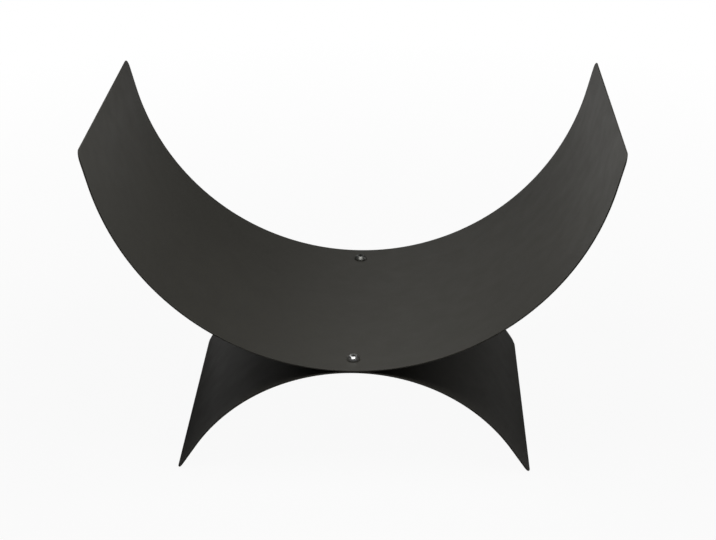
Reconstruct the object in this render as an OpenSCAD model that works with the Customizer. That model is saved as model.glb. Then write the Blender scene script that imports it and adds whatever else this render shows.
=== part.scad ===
// Firewood stand: a deep cradle rolled from sheet steel, bolted along its centre line to an arched base.
// +X runs across the cradle, +Y runs along the logs to the rear, +Z is up, and the floor is at zero.
// All sizes are in millimetres and all angles in degrees.

/* [Cradle] */
// Inner radius of the rolled cradle
cradle_r = 259; // [220:0.5:320]
// Angle from the lowest line of the cradle up to the start of each straight end
cradle_half_angle = 76.2; // [65:0.1:85]

/* [Base] */
// Outer radius of the base arch
base_r = 196; // [160:0.5:230]
// Angle from the top line of the arch down to the start of each straight end
base_half_angle = 56.3; // [45:0.1:65]
// Width of the level land ground on the lower edge of each foot
foot_land = 1; // [0.4:0.1:1.3]

/* [Sheet] */
// Depth of both panels, from front edge to rear edge
panel_depth = 300; // [240:5:400]
// Thickness of the sheet of both panels
sheet_t = 1.5; // [1.2:0.1:2.5]
// Length of the straight end that the rollers leave at each end of both panels
end_flat = 35; // [20:1:70]
// Radius of the corners of both flat blanks
corner_r = 10; // [2:0.5:15]

/* [Screws] */
// Distance of each screw from the nearest edge of the panels
screw_inset = 25; // [18:1:60]
// Outside diameter of the screw thread
thread_d = 8; // [6:0.5:8.5]
// Length of the screw below its head
screw_length = 14; // [14:1:25]
// Length of the chamfer on the end of the thread
thread_chamfer = 0.9; // [0.4:0.1:1.2]
// Diameter of the domed head
head_d = 14; // [12:0.5:18]
// Height of the domed head
head_h = 4.4; // [3.8:0.1:5]
// Height of the straight rim round the domed head
head_rim = 0.8; // [0.4:0.1:1.2]
// Diameter of the flat on top of the domed head
head_flat_d = 7.4; // [6.5:0.1:8.5]
// Width across the flats of the hexagonal socket
socket_af = 5; // [4:0.5:5.5]
// Depth of the flats of the hexagonal socket
socket_depth = 2.6; // [2:0.1:3]

/* [Washers] */
// Outside diameter of the washer
washer_d = 16; // [14:0.5:24]
// Thickness of the washer
washer_t = 1.6; // [1:0.1:2.5]
// Width of the bevel round the upper and lower edge of the washer
washer_bevel = 0.2; // [0.1:0.05:0.3]

/* [Lock nuts] */
// Width across the flats of the nut
nut_af = 13; // [12.5:0.5:17]
// Whole height of the nut, with its collar
nut_h = 8; // [7:0.5:9]
// Height of the round collar below the hexagon
collar_h = 2; // [1.2:0.1:3]
// Thickness of the collar's wall round the locking ring
collar_wall = 0.7; // [0.4:0.1:0.9]
// Thickness of the rolled lip that holds the locking ring in
lip_t = 0.35; // [0.2:0.05:0.6]
// Height of the nylon locking ring
ring_h = 2.2; // [1.5:0.1:2.8]
// Thickness of the nylon locking ring's wall
ring_wall = 1.2; // [0.9:0.1:1.3]

/* [Fits] */
// Clearance on the diameter of the panels' holes round the screw
hole_clearance = 1; // [0.4:0.1:2]
// Clearance on the diameter of the washer's hole round the screw
washer_clearance = 0.4; // [0.2:0.1:0.8]
// Clearance on the diameter of the nut and its ring round the screw
thread_clearance = 0.1; // [0.04:0.02:0.2]
// Clearance on each side of the locking ring in its groove
ring_clearance = 0.05; // [0.02:0.01:0.1]

/* [Hidden] */
$fn = 180;

// Colours of the coat, the plated fasteners and the nylon
coat_colour = [0.24, 0.24, 0.23];
zinc_colour = [0.76, 0.77, 0.78];
nylon_colour = [0.88, 0.88, 0.84];

// The two places along the depth where the panels are bolted
front = -1;
rear = 1;
screw_y = panel_depth / 2 - screw_inset;

// How far a cutting solid runs past what it cuts
over = 2;

// How far the round of a corner would run out of the sheet, so that it crosses both edges cleanly
corner_overshoot = 0.01;

// Angle by which each half of a panel runs past the middle, so that the halves are one sheet
middle_overlap = 10;

// The arch stands with the ground lands of its feet on the floor
base_inner_r = base_r - sheet_t;
land_height = foot_land / (tan(base_half_angle) + 1 / tan(base_half_angle));
inner_edge_drop = base_inner_r * cos(base_half_angle) - end_flat * sin(base_half_angle);
base_z = -inner_edge_drop - land_height;
base_top = base_z + base_r;

// The cradle touches the top line of the arch with its lowest line
cradle_outer_r = cradle_r + sheet_t;
cradle_z = base_top + cradle_outer_r;

// The rim of each head touches the cradle, and the rim of each washer the arch
head_z = cradle_z - sqrt(pow(cradle_r, 2) - pow(head_d / 2, 2));
washer_z = base_z + sqrt(pow(base_inner_r, 2) - pow(washer_d / 2, 2));
nut_z = washer_z - washer_t;

// The bores that the screw passes
hole_d = thread_d + hole_clearance;
washer_hole_d = thread_d + washer_clearance;
nut_bore_d = thread_d + thread_clearance;

// The dome of the head is part of a sphere through its rim and its flat
dome_rise = head_h - head_rim;
dome_z = (pow(head_flat_d / 2, 2) + pow(head_h, 2) - pow(head_d / 2, 2) - pow(head_rim, 2))
    / (2 * dome_rise);
dome_r = sqrt(pow(head_d / 2, 2) + pow(head_rim - dome_z, 2));
socket_point = socket_af / 2 * tan(30);

// The locking ring, its groove and the collar round it
ring_r = nut_bore_d / 2 + ring_wall;
groove_r = ring_r + ring_clearance;
groove_h = ring_h + 2 * ring_clearance;
collar_r = groove_r + collar_wall;
lip_r = nut_bore_d / 2 + ring_wall / 2;
collar_round = collar_wall;

// The corners of the hexagon are turned off at this slope from the width across its flats
nut_corner_r = nut_af / 2 / cos(30);
nut_bevel = (nut_corner_r - nut_af / 2) * tan(30);

// The same solid on the left and on the right
module both_sides() {
    for (side = [0, 1])
        mirror([side, 0, 0])
            children();
}

// The same solid at the front and at the rear
module both_ends() {
    for (end = [0, 1])
        mirror([0, end, 0])
            children();
}

// What is cut off one corner of a blank: +X and +Y point out of the sheet from the corner
module corner_cut() {
    reach = corner_r + sheet_t;
    centre = corner_overshoot - corner_r;
    translate([centre, centre, 0])
        difference() {
            translate([0, 0, -reach])
                cube([corner_r + over, corner_r + over, 2 * reach]);
            cylinder(r = corner_r, h = 4 * reach, center = true);
        }
}

// Right half of a panel's section, turned so that its straight end is level and starts above the centre
module level_half(inner_r, half_angle) {
    outer_r = inner_r + sheet_t;
    far = 2 * outer_r;
    past_middle = half_angle + middle_overlap;
    intersection() {
        difference() {
            circle(r = outer_r);
            circle(r = inner_r);
        }
        polygon([[0, 0], [0, far], [-far, far], [-far * sin(past_middle), far * cos(past_middle)]]);
    }
    translate([0, inner_r])
        square([end_flat, sheet_t]);
}

// Section of a panel in X and Z, arch way up, about the centre of its roll
module panel_section(inner_r, half_angle) {
    both_sides()
        rotate(-half_angle)
            level_half(inner_r, half_angle);
}

// A whole panel about the centre of its roll, arch way up, with its screw holes and rounded corners
module rolled_panel(inner_r, half_angle) {
    middle_r = inner_r + sheet_t / 2;
    difference() {
        rotate([90, 0, 0])
            linear_extrude(height = panel_depth, center = true)
                panel_section(inner_r, half_angle);
        both_ends()
            translate([0, screw_y, middle_r])
                cylinder(d = hole_d, h = 2 * over + sheet_t, center = true);
        both_sides()
            both_ends()
                rotate([0, half_angle, 0])
                    translate([end_flat, panel_depth / 2, middle_r])
                        corner_cut();
    }
}

// The cradle is a panel turned upside down
module cradle_panel() {
    color(coat_colour)
        translate([0, 0, cradle_z])
            mirror([0, 0, 1])
                rolled_panel(cradle_r, cradle_half_angle);
}

// The base is a panel the arch way up, ground level where its ends stand on the floor
module base_panel() {
    floor_cut = [2 * base_r + 2 * end_flat, panel_depth + 2 * over, base_r];
    color(coat_colour)
        difference() {
            translate([0, 0, base_z])
                rolled_panel(base_inner_r, base_half_angle);
            translate([0, 0, -floor_cut[2] / 2])
                cube(floor_cut, center = true);
        }
}

// Domed head with its under face at zero
module domed_head() {
    rotate_extrude()
        intersection() {
            translate([0, dome_z])
                circle(r = dome_r);
            square([head_d / 2, head_h]);
        }
}

// Hexagonal socket with a drilled point, cut down from the top of the head
module hex_socket() {
    translate([0, 0, head_h - socket_depth])
        cylinder(d = socket_af / cos(30), h = socket_depth + over, $fn = 6);
    translate([0, 0, head_h - socket_depth - socket_point])
        cylinder(r1 = 0, r2 = socket_af / 2, h = socket_point);
}

// Threaded shank below the head, at the outside diameter of its thread
module shank() {
    tip_d = thread_d - 2 * thread_chamfer;
    translate([0, 0, -screw_length])
        cylinder(d1 = tip_d, d2 = thread_d, h = thread_chamfer);
    translate([0, 0, thread_chamfer - screw_length])
        cylinder(d = thread_d, h = screw_length - thread_chamfer);
}

module screw(place) {
    color(zinc_colour)
        translate([0, place * screw_y, head_z])
            difference() {
                union() {
                    domed_head();
                    shank();
                }
                hex_socket();
            }
}

module washer(place) {
    rim_r = washer_d / 2;
    hole_r = washer_hole_d / 2;
    color(zinc_colour)
        translate([0, place * screw_y, nut_z])
            rotate_extrude()
                polygon([
                    [hole_r, 0], [rim_r - washer_bevel, 0], [rim_r, washer_bevel],
                    [rim_r, washer_t], [hole_r, washer_t]
                ]);
}

// Section of the nut as if it were turned: bearing face at zero, collar at the bottom
module nut_section() {
    hex_bottom = collar_h - nut_h;
    groove_bottom = lip_t - nut_h;
    difference() {
        union() {
            polygon([
                [0, hex_bottom], [nut_af / 2, hex_bottom], [nut_corner_r, hex_bottom + nut_bevel],
                [nut_corner_r, -nut_bevel], [nut_af / 2, 0], [0, 0]
            ]);
            translate([0, -nut_h])
                square([collar_r - collar_round, collar_round]);
            translate([0, collar_round - nut_h])
                square([collar_r, collar_h]);
            translate([collar_r - collar_round, collar_round - nut_h])
                circle(r = collar_round);
        }
        square([nut_bore_d, 2 * nut_h + 2 * over], center = true);
        translate([0, -nut_h - over])
            square([lip_r, over + lip_t]);
        translate([0, groove_bottom])
            square([groove_r, groove_h]);
    }
}

module nut(place) {
    color(zinc_colour)
        translate([0, place * screw_y, nut_z])
            intersection() {
                rotate_extrude()
                    nut_section();
                rotate(30)
                    translate([0, 0, -nut_h])
                        cylinder(r = nut_corner_r, h = nut_h, $fn = 6);
            }
}

module nut_ring(place) {
    color(nylon_colour)
        translate([0, place * screw_y, nut_z - nut_h + lip_t + ring_clearance])
            difference() {
                cylinder(r = ring_r, h = ring_h);
                translate([0, 0, -over])
                    cylinder(d = nut_bore_d, h = ring_h + 2 * over);
            }
}

cradle_panel();
base_panel();
screw(front);  // front_screw
screw(rear);  // rear_screw
washer(front);  // front_washer
washer(rear);  // rear_washer
nut(front);  // front_nut
nut(rear);  // rear_nut
nut_ring(front);  // front_nut_ring
nut_ring(rear);  // rear_nut_ring
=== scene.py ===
from math import atan, ceil, cos, pi, radians, sin, sqrt, tan

import bmesh
import bpy
from mathutils import Matrix, Vector


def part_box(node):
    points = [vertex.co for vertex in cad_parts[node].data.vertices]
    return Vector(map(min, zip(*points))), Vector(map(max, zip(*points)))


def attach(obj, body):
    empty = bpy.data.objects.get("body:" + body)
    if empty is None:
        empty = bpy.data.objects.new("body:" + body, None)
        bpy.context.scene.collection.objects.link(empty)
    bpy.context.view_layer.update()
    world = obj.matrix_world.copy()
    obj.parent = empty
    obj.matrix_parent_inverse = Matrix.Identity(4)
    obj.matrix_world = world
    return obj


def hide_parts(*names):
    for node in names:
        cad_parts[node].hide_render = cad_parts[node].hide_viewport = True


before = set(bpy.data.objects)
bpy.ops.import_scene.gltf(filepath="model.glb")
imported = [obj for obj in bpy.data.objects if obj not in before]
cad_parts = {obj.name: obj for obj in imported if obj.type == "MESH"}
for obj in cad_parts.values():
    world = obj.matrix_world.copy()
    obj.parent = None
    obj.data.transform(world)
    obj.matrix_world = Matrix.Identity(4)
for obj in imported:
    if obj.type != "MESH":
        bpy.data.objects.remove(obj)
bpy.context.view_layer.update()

# The firewood stand's looks: two rolled and powder-coated sheets and their zinc-plated fasteners.
# Lengths are in metres, and MM turns the sizes below from millimetres.
MM = 0.001

# Sizes of the two sheets: the cradle's radius is its inside and the arch's its outside
CRADLE_RADIUS = 259 * MM
CRADLE_HALF_ANGLE = radians(76.2)
ARCH_RADIUS = 196 * MM
ARCH_HALF_ANGLE = radians(56.3)
END_FLAT = 35 * MM
SHEET = 1.5 * MM
CORNER = 10 * MM
EDGE_ROUND = 0.45 * MM
SCREW_INSET = 25 * MM
HOLE_RADIUS = 4.5 * MM

# Sizes of the screws
THREAD_RADIUS = 4 * MM
THREAD_PITCH = 1.25 * MM
THREAD_DEPTH = 0.767 * MM
THREAD_CHAMFER = 0.9 * MM
THREAD_RUNOUT = 1 * MM
HEAD_RADIUS = 7 * MM
HEAD_HEIGHT = 4.4 * MM
HEAD_RIM = 0.8 * MM
HEAD_FLAT_RADIUS = 3.7 * MM
HEAD_CHAMFER = 0.12 * MM
SOCKET_WIDTH = 5 * MM
SOCKET_DEPTH = 2.6 * MM
SOCKET_CHAMFER = 0.15 * MM
DRILL_POINT_ANGLE = radians(30)

# The thread's crest, flank and root as shares of its pitch, and its profile over one pitch, where each point
# also has its share of the thread's depth
CREST = 1 / 8
FLANK = 5 / 16
ROOT = 1 / 4
THREAD_PROFILE = ((0, 0), (CREST, 0), (CREST + FLANK, 1), (CREST + FLANK + ROOT, 1))

# Sizes of the washers, lock nuts and locking rings
WASHER_RADIUS = 8 * MM
WASHER_HOLE_RADIUS = 4.2 * MM
WASHER_CHAMFER = 0.2 * MM
NUT_WIDTH = 13 * MM
NUT_BORE_RADIUS = 4.05 * MM
NUT_BEVEL_ANGLE = radians(30)
COLLAR_HEIGHT = 2 * MM
COLLAR_WALL = 0.7 * MM
LIP = 0.35 * MM
RING_WALL = 1.2 * MM
RING_PLAY = 0.05 * MM
RING_CHAMFER = 0.2 * MM

# Places that the frame gives
arch_low, arch_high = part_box("base_panel")
cradle_low, cradle_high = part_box("cradle_panel")
head_low, head_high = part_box("front_screw")
washer_low, washer_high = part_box("front_washer")
nut_low, nut_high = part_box("front_nut")
ring_low, ring_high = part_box("front_nut_ring")
half_depth = (cradle_high.y - cradle_low.y) / 2
screw_y = half_depth - SCREW_INSET
arch_z = arch_high.z - ARCH_RADIUS
cradle_z = cradle_low.z + SHEET + CRADLE_RADIUS
seat_z = head_high.z - HEAD_HEIGHT

# How finely the meshes are divided. A square block of quads surrounds each hole in a sheet.
LENGTH_STEP = 4.2 * MM
DEPTH_STEP = 3 * LENGTH_STEP
CORNER_STEPS = 8
EDGE_STEPS = 3
BLOCK_HALF_WIDTH = 12 * MM
BLOCK_HALF_STEPS = 4
BLOCK_STEPS = 2 * BLOCK_HALF_STEPS
BLOCK_STEP = BLOCK_HALF_WIDTH / BLOCK_HALF_STEPS
TURN_STEPS = 48
NUT_TURN_STEPS = 2 * TURN_STEPS
DOME_STEPS = 10
NUT_ROUND_STEPS = 6
FLOOR_TURN_STEPS = 96
COVE_STEPS = 16
SAME_POINT = 0.0001 * MM
SAME_POINT_DIGITS = 5
SHARP_ANGLE = radians(34)

# Linear colours and other values of the materials
COAT_DARK = (0.0212, 0.0201, 0.0163)
COAT_LIGHT = (0.0236, 0.0224, 0.0181)
COAT_SPECK = (0.0310, 0.0295, 0.0241)
COAT_EDGE = (0.040, 0.038, 0.031)
COAT_EDGE_SHARE = 0.3
COAT_ROUGHNESS = (0.55, 0.61)
COAT_SHINE = (1, 0.98, 0.91, 1)
ZINC_CLOUD = 0.05
ZINC_WARMTH = 0.01
ZINC_RUB = 0.05
NYLON_DARK = (0.68, 0.67, 0.62)
NYLON_LIGHT = (0.76, 0.75, 0.71)
NYLON_ROUGHNESS = (0.36, 0.46)

# The floor's grey as the lamps light it, and the white that the camera sees near the stand, which rises to
# full white between two distances
FLOOR_GREY = 0.63
FLOOR_WHITE = 0.94
SHADOW_INNER = 0.4
SHADOW_OUTER = 1.4

# How far reflections show the floor as glowing white: nearly so in a painted pool of light that only
# reflections see, hardly elsewhere
POOL_PLACE = (-0.9, 1.5, 0)
POOL_INNER = 0.6
POOL_OUTER = 1.6
POOL_WHITE = 0.95
FLOOR_MIRRORED = 0.02

# The floor lies a little below the feet, and a cove ends it
FLOOR_REACH = 5
FLOOR_HEIGHT = -0.5 * MM
COVE_RADIUS = 1.5
COVE_HEIGHT = 3

# The photograph's camera, with its angles in radians and its sensor in millimetres
PHOTO_WIDTH = 716
CAMERA_PLACE = (0.05413, -1.61777, 0.89803)
CAMERA_YAW = -0.032821
CAMERA_PITCH = 0.427362
CAMERA_ROLL = -0.004983
FOCAL_PIXELS = 1655.85
SENSOR = 36
CLIP_START = 0.01

# Lamps face a point at this height over the floor's middle
LAMP_AIM_HEIGHT = 0.17
WORLD_LEVEL = 0.08


# Materials

def node(tree, kind, **values):
    """A new shader node with its settings."""
    made = tree.nodes.new(kind)
    for key, value in values.items():
        setattr(made, key, value)
    return made


def noise(tree, place, scale, detail, roughness=0.5):
    """Noise through the solid, scale in features per metre."""
    made = node(tree, "ShaderNodeTexNoise")
    made.inputs["Scale"].default_value = scale
    made.inputs["Detail"].default_value = detail
    made.inputs["Roughness"].default_value = roughness
    tree.links.new(place, made.inputs["Vector"])
    return made.outputs["Fac"]


def spread(tree, value, given, wanted=(0, 1)):
    """value taken from one range into another."""
    made = node(tree, "ShaderNodeMapRange")
    made.inputs["From Min"].default_value = given[0]
    made.inputs["From Max"].default_value = given[1]
    made.inputs["To Min"].default_value = wanted[0]
    made.inputs["To Max"].default_value = wanted[1]
    tree.links.new(value, made.inputs["Value"])
    return made.outputs["Result"]


def reckon(tree, operation, *values):
    """The result of a maths operation on sockets."""
    made = node(tree, "ShaderNodeMath", operation=operation)
    for value, socket in zip(values, made.inputs):
        tree.links.new(value, socket)
    return made.outputs["Value"]


def distance_from(tree, place, point):
    """How far each place is from a point."""
    made = node(tree, "ShaderNodeVectorMath", operation="DISTANCE")
    tree.links.new(place, made.inputs[0])
    made.inputs[1].default_value = point
    return made.outputs["Value"]


def blend_colours(tree, share, first, second):
    """The colour between first and second, each a colour or a socket."""
    made = node(tree, "ShaderNodeMix", data_type="RGBA")
    tree.links.new(share, made.inputs["Factor"])
    for name, colour in (("A", first), ("B", second)):
        socket = next(s for s in made.inputs if s.name == name and s.type == "RGBA")
        if isinstance(colour, tuple):
            socket.default_value = (*colour, 1)
        else:
            tree.links.new(colour, socket)
    return next(s for s in made.outputs if s.type == "RGBA")


def bump(tree, height, strength, distance, under=None):
    """The normal with height's bumps on it, and with those of the normal under, where there is one."""
    made = node(tree, "ShaderNodeBump")
    made.inputs["Strength"].default_value = strength
    made.inputs["Distance"].default_value = distance
    tree.links.new(height, made.inputs["Height"])
    if under is not None:
        tree.links.new(under, made.inputs["Normal"])
    return made.outputs["Normal"]


def new_material(name):
    """A material with its tree, its shader and the socket that gives the place on the object in metres."""
    material = bpy.data.materials.new(name)
    material.use_nodes = True
    tree = material.node_tree
    shader = tree.nodes["Principled BSDF"]
    place = node(tree, "ShaderNodeTexCoord").outputs["Object"]
    return material, tree, shader, place


def powder_coat():
    """Fine-texture anthracite powder coat, a little lighter where it thins over the sheet's edges."""
    material, tree, shader, place = new_material("powder_coat_anthracite")
    cloud = spread(tree, noise(tree, place, scale=14, detail=3), (0.35, 0.65))
    field = blend_colours(tree, cloud, COAT_DARK, COAT_LIGHT)
    speck = spread(tree, noise(tree, place, scale=2600, detail=1), (0.4, 0.75))
    grain = blend_colours(tree, speck, field, COAT_SPECK)
    edge = node(tree, "ShaderNodeAttribute", attribute_name="edge_round").outputs["Fac"]
    thin = spread(tree, edge, (0, 1), (0, COAT_EDGE_SHARE))
    tree.links.new(blend_colours(tree, thin, grain, COAT_EDGE), shader.inputs["Base Color"])
    matt = spread(tree, noise(tree, place, scale=45, detail=4), (0.3, 0.7), COAT_ROUGHNESS)
    tree.links.new(matt, shader.inputs["Roughness"])
    shader.inputs["Specular Tint"].default_value = COAT_SHINE
    peel = bump(tree, noise(tree, place, scale=420, detail=2), strength=0.10, distance=0.4 * MM)
    sand_noise = noise(tree, place, scale=1700, detail=2, roughness=0.6)
    sand = bump(tree, sand_noise, strength=0.16, distance=0.12 * MM, under=peel)
    tree.links.new(sand, shader.inputs["Normal"])
    return material


def zinc_plate(name, level, roughness):
    """Zinc plate of a given brightness, with the faint cloudiness and rubbed patches of bulk fasteners."""
    material, tree, shader, place = new_material(name)
    cloud = spread(tree, noise(tree, place, scale=260, detail=3), (0.3, 0.7))
    dark, light = ((grey, grey, grey - ZINC_WARMTH) for grey in (level - ZINC_CLOUD, level + ZINC_CLOUD))
    tree.links.new(blend_colours(tree, cloud, dark, light), shader.inputs["Base Color"])
    rub_noise = noise(tree, place, scale=900, detail=4, roughness=0.7)
    rub = spread(tree, rub_noise, (0.3, 0.7), (roughness - ZINC_RUB, roughness + ZINC_RUB))
    tree.links.new(rub, shader.inputs["Roughness"])
    grain = bump(tree, noise(tree, place, scale=2200, detail=3), strength=0.12, distance=0.06 * MM)
    tree.links.new(grain, shader.inputs["Normal"])
    shader.inputs["Metallic"].default_value = 1
    return material


def natural_nylon():
    """Milky moulded nylon of the locking rings."""
    material, tree, shader, place = new_material("natural_nylon")
    cloud = spread(tree, noise(tree, place, scale=500, detail=2), (0.3, 0.7))
    tree.links.new(blend_colours(tree, cloud, NYLON_DARK, NYLON_LIGHT), shader.inputs["Base Color"])
    tree.links.new(spread(tree, cloud, (0, 1), NYLON_ROUGHNESS), shader.inputs["Roughness"])
    grain = bump(tree, noise(tree, place, scale=3000, detail=2), strength=0.1, distance=0.04 * MM)
    tree.links.new(grain, shader.inputs["Normal"])
    return material


def floor_finish():
    """White studio floor. The camera sees it as white, a little less so round the stand, where its soft
    shadow lies. Reflections show it as the lamps light it, except for a painted pool of light behind the
    stand, to its left, which glows nearly white to reflections only."""
    material, tree, shader, place = new_material("white_floor")
    tree.nodes.remove(shader)
    far = distance_from(tree, place, (0, 0, 0))
    seen_white = spread(tree, far, (SHADOW_INNER, SHADOW_OUTER), (FLOOR_WHITE, 1))
    # Painted pool of light: the floor glows nearly white to glossy and transmission rays round POOL_PLACE
    away = distance_from(tree, place, POOL_PLACE)
    pool = spread(tree, away, (POOL_INNER, POOL_OUTER), (POOL_WHITE, FLOOR_MIRRORED))
    path = node(tree, "ShaderNodeLightPath").outputs
    seen = reckon(tree, "MULTIPLY", path["Is Camera Ray"], seen_white)
    mirrored = reckon(tree, "MAXIMUM", path["Is Glossy Ray"], path["Is Transmission Ray"])
    share = reckon(tree, "MULTIPLY_ADD", mirrored, pool, seen)
    lit = node(tree, "ShaderNodeBsdfDiffuse")
    lit.inputs["Color"].default_value = (FLOOR_GREY, FLOOR_GREY, FLOOR_GREY, 1)
    white = node(tree, "ShaderNodeEmission")
    white.inputs["Color"].default_value = (1, 1, 1, 1)
    mix = node(tree, "ShaderNodeMixShader")
    tree.links.new(share, mix.inputs["Fac"])
    tree.links.new(lit.outputs["BSDF"], mix.inputs[1])
    tree.links.new(white.outputs["Emission"], mix.inputs[2])
    tree.links.new(mix.outputs["Shader"], tree.nodes["Material Output"].inputs["Surface"])
    return material


# One piece of the visual model

def piece(name, points, faces, finish, cad_node, merge=0):
    """A closed mesh as a piece that rides on the stand and stands for a CAD node.
    Points closer together than merge become one."""
    mesh = bpy.data.meshes.new(name)
    mesh.from_pydata(points, [], faces)
    work = bmesh.new()
    work.from_mesh(mesh)
    if merge:
        bmesh.ops.remove_doubles(work, verts=work.verts, dist=merge)
    bmesh.ops.recalc_face_normals(work, faces=work.faces)
    work.to_mesh(mesh)
    work.free()
    mesh.shade_smooth()
    mesh.materials.append(finish)
    made = bpy.data.objects.new(name, mesh)
    bpy.context.scene.collection.objects.link(made)
    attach(made, "root")
    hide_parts(cad_node)
    return made


# The rolled sheets

def edge_profile():
    """Steps round a sheet's edge from its upper face to its lower one. Each has its inset from the outline,
    its height, and the angle by which it faces up."""
    flat = SHEET / 2 - EDGE_ROUND
    quarter = []
    for step in range(EDGE_STEPS + 1):
        turn = pi / 2 * (1 - step / EDGE_STEPS)
        quarter.append((EDGE_ROUND * (1 - cos(turn)), flat + EDGE_ROUND * sin(turn), turn))
    return quarter + [(inset, -height, -turn) for inset, height, turn in reversed(quarter)]


class Blank:
    """A flat blank with rounded corners and two screw holes, as a mesh of quads, before it is rolled.
    u runs along the length, v along the depth and w through the thickness, each from the blank's middle.
    Each point holds its u, v and w, and then the same parts of its normal."""

    def __init__(self, half_u):
        self.half_u = half_u
        self.points = []
        self.faces = []
        self.columns = self.all_columns()
        self.rows = self.inner_rows()
        profile = edge_profile()
        walls = [self.wall(*step) for step in profile]
        holes = [[self.hole_ring(side, *step) for step in profile] for side in (-1, 1)]
        for rings in [walls, *holes]:
            for first, second in zip(rings, rings[1:]):
                self.join(first, second)
        for end in (0, -1):
            self.face(walls[end], [rings[end] for rings in holes], *profile[end])

    def all_columns(self):
        """Columns from the left end to the right. Each is a place along the length, and the turn round the
        corner there."""
        middle = [BLOCK_STEP * i for i in range(BLOCK_HALF_STEPS + 1)]
        start = self.half_u - CORNER
        stretch = start - BLOCK_HALF_WIDTH
        count = ceil(stretch / LENGTH_STEP)
        straight = [BLOCK_HALF_WIDTH + stretch * i / count for i in range(1, count + 1)]
        right = [(u, 0.0) for u in middle + straight]
        right += [(start, pi / 2 * i / CORNER_STEPS) for i in range(1, CORNER_STEPS + 1)]
        left = [(-u, -turn) for u, turn in reversed(right[1:])]
        return left + right

    def inner_rows(self):
        """Rows across the depth, between the corners, that meet the block round each hole."""
        stretch = screw_y - BLOCK_HALF_WIDTH
        count = ceil(2 * stretch / DEPTH_STEP)
        between = [stretch * (2 * i / count - 1) for i in range(1, count)]
        block = [BLOCK_STEP * i - BLOCK_HALF_WIDTH for i in range(BLOCK_STEPS + 1)]
        return [b - screw_y for b in block] + between + [b + screw_y for b in block]

    def edge_point(self, column, side, inset):
        """Where a column meets the outline at side -1 or 1, drawn in by inset, and the way out of the sheet
        there."""
        u, turn = self.columns[column]
        reach = CORNER - inset
        v = side * (half_depth - CORNER + reach * cos(turn))
        return (u + reach * sin(turn), v, sin(turn), side * cos(turn))

    def add(self, u, v, w, out_u, out_v, turn):
        """A point that faces the way (out_u, out_v) along the sheet, turned up out of it."""
        self.points.append((u, v, w, out_u * cos(turn), out_v * cos(turn), sin(turn)))
        return len(self.points) - 1

    def wall(self, inset, height, turn):
        """One loop round the outline."""
        last = len(self.columns) - 1
        near = [self.edge_point(c, -1, inset) for c in range(last + 1)]
        right = [(self.half_u - inset, v, 1, 0) for v in self.rows]
        far = [self.edge_point(c, 1, inset) for c in range(last, -1, -1)]
        left = [(inset - self.half_u, v, -1, 0) for v in reversed(self.rows)]
        return [self.add(u, v, height, nu, nv, turn) for u, v, nu, nv in near + right + far + left]

    def hole_ring(self, side, inset, height, turn):
        """One loop round a hole, from the corner of its block nearest -u and -v."""
        count = 4 * BLOCK_STEPS
        ring = []
        for i in range(count):
            angle = 2 * pi * i / count - 3 * pi / 4
            u, v = cos(angle), sin(angle)
            reach = HOLE_RADIUS + inset
            ring.append(self.add(reach * u, side * screw_y + reach * v, height, -u, -v, turn))
        return ring

    def join(self, first, second):
        """Quads between two loops with as many points each."""
        for i in range(len(first)):
            after = (i + 1) % len(first)
            self.faces.append((first[i], first[after], second[after], second[i]))

    def face(self, outline, holes, inset, height, turn):
        """The upper or lower face inside its outline, with a ring of quads round each hole."""
        last = len(self.columns) - 1
        rows = len(self.rows)
        grid = {}
        for c in range(last + 1):
            grid[c, 0] = outline[c]
            grid[c, rows + 1] = outline[last + 1 + rows + last - c]
        for r in range(rows):
            grid[last, r + 1] = outline[last + 1 + r]
            grid[0, r + 1] = outline[len(outline) - 1 - r]
        block_left = last // 2 - BLOCK_HALF_STEPS
        blocks = [(block_left, 1), (block_left, rows - BLOCK_STEPS)]

        def inside(c, r, margin):
            least, most = margin, BLOCK_STEPS - margin
            return any(least <= c - left <= most and least <= r - low <= most for left, low in blocks)

        for c in range(1, last):
            u = self.edge_point(c, 1, inset)[0]
            for r in range(1, rows + 1):
                if not inside(c, r, 1):
                    grid[c, r] = self.add(u, self.rows[r - 1], height, 0, 0, turn)
        for c in range(last):
            for r in range(rows + 1):
                corners = [(c, r), (c + 1, r), (c + 1, r + 1), (c, r + 1)]
                if not all(inside(x, y, 0) for x, y in corners):
                    self.faces.append(tuple(grid[corner] for corner in corners))
        for (left, low), ring in zip(blocks, holes):
            right, high = left + BLOCK_STEPS, low + BLOCK_STEPS
            border = [(left + i, low) for i in range(BLOCK_STEPS)]
            border += [(right, low + i) for i in range(BLOCK_STEPS)]
            border += [(right - i, high) for i in range(BLOCK_STEPS)]
            border += [(left, high - i) for i in range(BLOCK_STEPS)]
            self.join([grid[corner] for corner in border], ring)


def roll(u, w, radius, half_angle, centre_z, way):
    """Where a point of a blank lies once rolled, and the ways along the sheet and up out of it.
    way is 1 for the arch and -1 for the cradle, which is rolled upwards. Each end stays straight."""
    turn = min(max(u / radius, -half_angle), half_angle)
    along = Vector((cos(turn), 0, -way * sin(turn)))
    up = Vector((way * sin(turn), 0, cos(turn)))
    place = Vector((0, 0, centre_z)) + up * (way * radius + w) + along * (u - turn * radius)
    return place, along, up


def rolled_sheet(name, radius, half_angle, centre_z, way, finish, cad_node):
    """A blank rolled to shape, with the radius of its middle layer. Its normals are the true ones of the
    rolled surface and its rounded edges."""
    blank = Blank(radius * half_angle + END_FLAT)
    points = []
    normals = []
    for u, v, w, out_u, out_v, out_w in blank.points:
        place, along, up = roll(u, w, radius, half_angle, centre_z, way)
        # Each foot's edge is dressed level where it stands on the floor
        points.append((place.x, v, max(place.z, 0)))
        normals.append(along * out_u + Vector((0, out_v, 0)) + up * out_w)
    made = piece(name, points, blank.faces, finish, cad_node)
    rounding = made.data.attributes.new("edge_round", "FLOAT", "POINT")
    rounding.data.foreach_set("value", [1 - abs(out_w) for *_, out_w in blank.points])
    made.data.normals_split_custom_set_from_vertices(normals)


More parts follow.
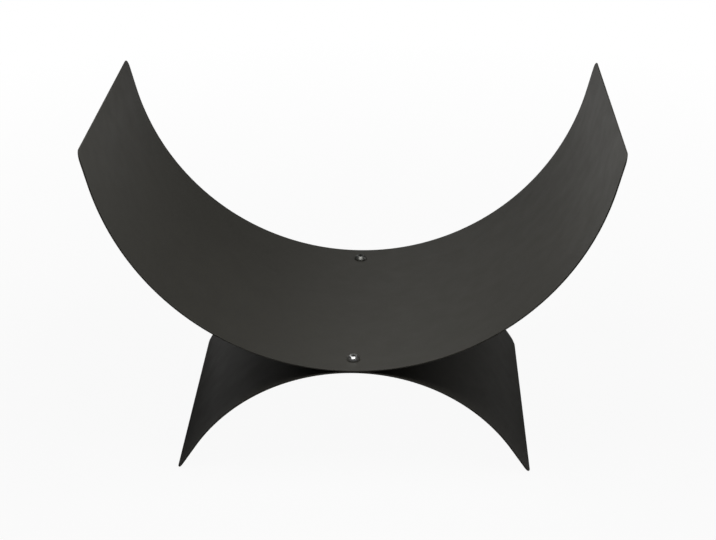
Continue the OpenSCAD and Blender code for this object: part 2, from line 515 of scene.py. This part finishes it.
# The turned fasteners. A ring is a function that gives the radius at an angle, and a height.

def circle(radius):
    """The same radius at every angle."""
    return lambda angle: radius


def hexagon(apothem, limit=None):
    """Distance to the edge of a hexagon at an angle, turned off to a circle where limit says."""
    def at(angle):
        reach = apothem / cos((angle + pi / 6) % (pi / 3) - pi / 6)
        return reach if limit is None else min(reach, limit)
    return at


def closed(rings):
    """Rings that come back to the first one, as those of a washer do."""
    return rings + rings[:1]


def lathe(rings, steps=TURN_STEPS):
    """Points and faces of a surface turned about Z through rings. A ring of None is a point on the axis."""
    points = []
    faces = []
    loops = []
    for reach, height in rings:
        if reach is None:
            points.append((0, 0, height))
            loops.append([len(points) - 1] * steps)
            continue
        start = len(points)
        for i in range(steps):
            angle = 2 * pi * i / steps
            points.append((reach(angle) * cos(angle), reach(angle) * sin(angle), height))
        loops.append(list(range(start, start + steps)))
    for first, second in zip(loops, loops[1:]):
        for i in range(steps):
            after = (i + 1) % steps
            corners = (first[i], first[after], second[after], second[i])
            faces.append(tuple(dict.fromkeys(corners)))
    return points, faces


def turned(name, points, faces, place, finish, slot, cad_node):
    """A turned piece at its place, with its sharper edges kept sharp."""
    placed = [tuple(Vector(p) + place) for p in points]
    made = piece(name, placed, faces, finish, cad_node, merge=SAME_POINT)
    made.data.set_sharp_from_angle(angle=SHARP_ANGLE)


def dome_rings():
    """Rings of the domed head from the rim up to its flat, which lie on a sphere."""
    rise = HEAD_HEIGHT - HEAD_RIM
    centre = (HEAD_FLAT_RADIUS**2 + HEAD_HEIGHT**2 - HEAD_RADIUS**2 - HEAD_RIM**2) / (2 * rise)
    radius = sqrt(HEAD_RADIUS**2 + (HEAD_RIM - centre)**2)
    low = atan((HEAD_RIM - centre) / HEAD_RADIUS)
    high = atan((HEAD_HEIGHT - centre) / HEAD_FLAT_RADIUS)
    rings = []
    for i in range(DOME_STEPS + 1):
        turn = low + (high - low) * i / DOME_STEPS
        rings.append((circle(radius * cos(turn)), centre + radius * sin(turn)))
    return rings


def socket_rings():
    """Rings of the hexagonal socket, from its chamfered upper edge down to the drilled point."""
    apothem = SOCKET_WIDTH / 2
    bottom = HEAD_HEIGHT - SOCKET_DEPTH
    return [
        (hexagon(apothem + SOCKET_CHAMFER), HEAD_HEIGHT),
        (hexagon(apothem), HEAD_HEIGHT - SOCKET_CHAMFER),
        (hexagon(apothem), bottom),
        (circle(apothem), bottom),
        (None, bottom - apothem * tan(DRILL_POINT_ANGLE)),
    ]


def thread_columns(bottom, top):
    """Points of the helical thread between two heights, as columns of (radius, height) that start at the
    tip."""
    # The two ends cut off the helix, which runs a turn further at each
    turns = ceil((top - bottom) / THREAD_PITCH) + 2
    rows = len(THREAD_PROFILE)
    tip = THREAD_RADIUS - THREAD_CHAMFER
    columns = []
    for i in range(TURN_STEPS):
        column = [(tip, bottom)]
        for k in range(rows * turns):
            phase, depth = THREAD_PROFILE[k % rows]
            height = bottom + THREAD_PITCH * (k // rows + phase + i / TURN_STEPS - 1)
            radius = THREAD_RADIUS - depth * THREAD_DEPTH
            if height <= bottom:
                column.append((tip, bottom))
            elif height >= top:
                column.append((THREAD_RADIUS - THREAD_DEPTH, top))
            else:
                column.append((min(radius, tip + height - bottom), height))
        columns.append(column)
    return columns


def thread_mesh(bottom, top):
    """Points and faces of the thread and the screw's flat tip, open at the top."""
    columns = thread_columns(bottom, top)
    points = []
    faces = []
    index = {}

    def corner(i, k):
        # The helix rises one pitch a turn, so past the last column the rows are one profile further on
        if i == TURN_STEPS:
            i, k = 0, k + len(THREAD_PROFILE)
        radius, height = columns[i][min(k, len(columns[i]) - 1)]
        key = (i, round(radius / MM, SAME_POINT_DIGITS), round(height / MM, SAME_POINT_DIGITS))
        if key not in index:
            angle = 2 * pi * i / TURN_STEPS
            index[key] = len(points)
            points.append((radius * cos(angle), radius * sin(angle), height))
        return index[key]

    for i in range(TURN_STEPS):
        for k in range(len(columns[0]) - 1):
            corners = (corner(i, k), corner(i + 1, k), corner(i + 1, k + 1), corner(i, k + 1))
            kept = tuple(dict.fromkeys(corners))
            if len(kept) > 2:
                faces.append(kept)
    tip_ring = [corner(i, 0) for i in range(TURN_STEPS)]
    centre = len(points)
    points.append((0, 0, bottom))
    for i in range(TURN_STEPS):
        faces.append((centre, tip_ring[(i + 1) % TURN_STEPS], tip_ring[i]))
    return points, faces


def screw_mesh():
    """Points and faces of a whole screw about Z, with the head's under face at zero."""
    points, faces = thread_mesh(head_low.z - seat_z, -THREAD_RUNOUT)
    rings = [
        (circle(THREAD_RADIUS - THREAD_DEPTH), -THREAD_RUNOUT),
        (circle(THREAD_RADIUS), -THREAD_RUNOUT / 2),
        (circle(THREAD_RADIUS), 0),
        (circle(HEAD_RADIUS - HEAD_CHAMFER), 0),
        (circle(HEAD_RADIUS), HEAD_CHAMFER),
    ] + dome_rings() + socket_rings()
    more_points, more_faces = lathe(rings)
    more_faces = [tuple(v + len(points) for v in face) for face in more_faces]
    return points + more_points, faces + more_faces


def screw(name, y, finish, cad_node):
    """A screw with its head's under face on its seat."""
    turned(name, *screw_mesh(), Vector((0, y, seat_z)), finish, "zinc_steel", cad_node)


def washer(name, y, finish, cad_node):
    """A punched washer, with its larger chamfers below."""
    high = washer_high.z - washer_low.z
    rings = [
        (circle(WASHER_HOLE_RADIUS + WASHER_CHAMFER), 0),
        (circle(WASHER_RADIUS - WASHER_CHAMFER), 0),
        (circle(WASHER_RADIUS), WASHER_CHAMFER),
        (circle(WASHER_RADIUS), high - WASHER_CHAMFER / 2),
        (circle(WASHER_RADIUS - WASHER_CHAMFER / 2), high),
        (circle(WASHER_HOLE_RADIUS), high),
        (circle(WASHER_HOLE_RADIUS), WASHER_CHAMFER),
    ]
    turned(name, *lathe(closed(rings)), Vector((0, y, washer_low.z)), finish, "zinc_steel", cad_node)


def lock_nut(name, y, finish, cad_node):
    """Hexagon with its corners turned off, and the round collar that holds the locking ring below."""
    apothem = NUT_WIDTH / 2
    corner = apothem / cos(pi / 6)
    high = nut_high.z - nut_low.z
    groove = NUT_BORE_RADIUS + RING_WALL + RING_PLAY
    groove_top = ring_high.z - nut_low.z + RING_PLAY
    lip_radius = NUT_BORE_RADIUS + RING_WALL / 2
    collar = groove + COLLAR_WALL
    limits = [apothem + (corner - apothem) * i / NUT_ROUND_STEPS for i in range(NUT_ROUND_STEPS + 1)]
    slope = tan(NUT_BEVEL_ANGLE)
    rings = [(circle(NUT_BORE_RADIUS), high)]
    for limit in limits:
        rings.append((hexagon(apothem, limit), high - (limit - apothem) * slope))
    for limit in reversed(limits):
        rings.append((hexagon(apothem, limit), COLLAR_HEIGHT + (limit - apothem) * slope))
    rings.append((circle(collar), COLLAR_HEIGHT))
    for i in range(NUT_ROUND_STEPS + 1):
        turn = pi / 2 * i / NUT_ROUND_STEPS
        rings.append((circle(collar - COLLAR_WALL * (1 - cos(turn))), COLLAR_WALL * (1 - sin(turn))))
    rings += [
        (circle(lip_radius), 0),
        (circle(lip_radius), LIP),
        (circle(groove), LIP),
        (circle(groove), groove_top),
        (circle(NUT_BORE_RADIUS), groove_top),
    ]
    mesh = lathe(closed(rings), NUT_TURN_STEPS)
    turned(name, *mesh, Vector((0, y, nut_low.z)), finish, "zinc_steel", cad_node)


def locking_ring(name, y, finish, cad_node):
    """The nylon ring in the nut's groove, with its chamfers below."""
    high = ring_high.z - ring_low.z
    outer = NUT_BORE_RADIUS + RING_WALL
    rings = [
        (circle(NUT_BORE_RADIUS + RING_CHAMFER), 0),
        (circle(outer - RING_CHAMFER), 0),
        (circle(outer), RING_CHAMFER),
        (circle(outer), high),
        (circle(NUT_BORE_RADIUS), high),
        (circle(NUT_BORE_RADIUS), RING_CHAMFER),
    ]
    turned(name, *lathe(closed(rings)), Vector((0, y, ring_low.z)), finish, "nylon", cad_node)


# Camera, lamps and floor

def make_camera():
    """The photograph's view. Its place, turn and focal length were fitted to the outlines of both sheets."""
    data = bpy.data.cameras.new("camera")
    data.sensor_width = SENSOR
    data.lens = FOCAL_PIXELS * SENSOR / PHOTO_WIDTH
    data.clip_start = CLIP_START
    made = bpy.data.objects.new("camera", data)
    bpy.context.scene.collection.objects.link(made)
    turn = Matrix.Rotation(-CAMERA_YAW, 4, "Z") @ Matrix.Rotation(pi / 2 - CAMERA_PITCH, 4, "X")
    made.matrix_world = Matrix.Translation(CAMERA_PLACE) @ turn @ Matrix.Rotation(CAMERA_ROLL, 4, "Z")
    bpy.context.scene.camera = made


def soft_light(name, azimuth, elevation, distance, size, power):
    """A square soft box that faces the stand. Azimuth 0 is the camera's side and 90 is the right."""
    data = bpy.data.lights.new(name, "AREA")
    data.shape = "SQUARE"
    data.size = size
    data.energy = power
    made = bpy.data.objects.new(name, data)
    a, e = radians(azimuth), radians(elevation)
    way = Vector((sin(a) * cos(e), -cos(a) * cos(e), sin(e)))
    made.location = Vector((0, 0, LAMP_AIM_HEIGHT)) + way * distance
    made.rotation_euler = way.to_track_quat("Z", "Y").to_euler()
    bpy.context.scene.collection.objects.link(made)


def make_floor():
    """A round floor that curves up into a wall, so that a low view has no edge in it."""
    rings = [(None, 0), (circle(FLOOR_REACH), 0)]
    for i in range(1, COVE_STEPS + 1):
        turn = pi / 2 * i / COVE_STEPS
        rings.append((circle(FLOOR_REACH + COVE_RADIUS * sin(turn)), COVE_RADIUS * (1 - cos(turn))))
    rings.append((circle(FLOOR_REACH + COVE_RADIUS), COVE_HEIGHT))
    points, faces = lathe(rings, FLOOR_TURN_STEPS)
    mesh = bpy.data.meshes.new("floor")
    mesh.from_pydata(points, [], faces)
    mesh.shade_smooth()
    mesh.materials.append(floor_finish())
    made = bpy.data.objects.new("floor", mesh)
    made.location.z = FLOOR_HEIGHT
    bpy.context.scene.collection.objects.link(made)


def make_world():
    """Faint white light from all round."""
    world = bpy.data.worlds.new("studio")
    world.use_nodes = True
    sky = world.node_tree.nodes["Background"]
    sky.inputs["Color"].default_value = (1, 1, 1, 1)
    sky.inputs["Strength"].default_value = WORLD_LEVEL
    bpy.context.scene.world = world


def make_lamps():
    """Lamps over the stand, behind it on the left, and low on its right."""
    soft_light("top_lamp", azimuth=0, elevation=74, distance=0.55, size=0.42, power=2.8)
    soft_light("back_lamp", azimuth=-165, elevation=45, distance=2.2, size=1.4, power=6.5)
    soft_light("rim_lamp", azimuth=-165, elevation=8, distance=2.2, size=0.5, power=0.5)
    soft_light("side_lamp", azimuth=105, elevation=15, distance=2.2, size=1.4, power=5.6)


def build():
    """Every piece of the stand."""
    coat = powder_coat()
    bright_zinc = zinc_plate("bright_zinc_plate", level=0.50, roughness=0.28)
    # A darker copy of the same zinc, painted shade for the rear screw
    painted_shade_zinc = zinc_plate("painted_shade_zinc_plate", level=0.16, roughness=0.42)
    nylon = natural_nylon()
    cradle_middle = CRADLE_RADIUS + SHEET / 2
    arch_middle = ARCH_RADIUS - SHEET / 2
    rolled_sheet("cradle_sheet", cradle_middle, CRADLE_HALF_ANGLE, cradle_z, -1, coat, "cradle_panel")
    rolled_sheet("arch_sheet", arch_middle, ARCH_HALF_ANGLE, arch_z, 1, coat, "base_panel")
    # The rear screw's highlight is much duller than the front one's, so its zinc is a darker copy: painted
    # shade
    for end, y, zinc in (("front", -screw_y, bright_zinc), ("rear", screw_y, painted_shade_zinc)):
        screw(f"{end}_dome_screw", y, zinc, f"{end}_screw")
        washer(f"{end}_flat_washer", y, zinc, f"{end}_washer")
        lock_nut(f"{end}_lock_nut", y, zinc, f"{end}_nut")
        locking_ring(f"{end}_locking_ring", y, nylon, f"{end}_nut_ring")


build()
make_camera()
make_floor()
make_world()
make_lamps()
bpy.context.scene.view_settings.view_transform = "Standard"
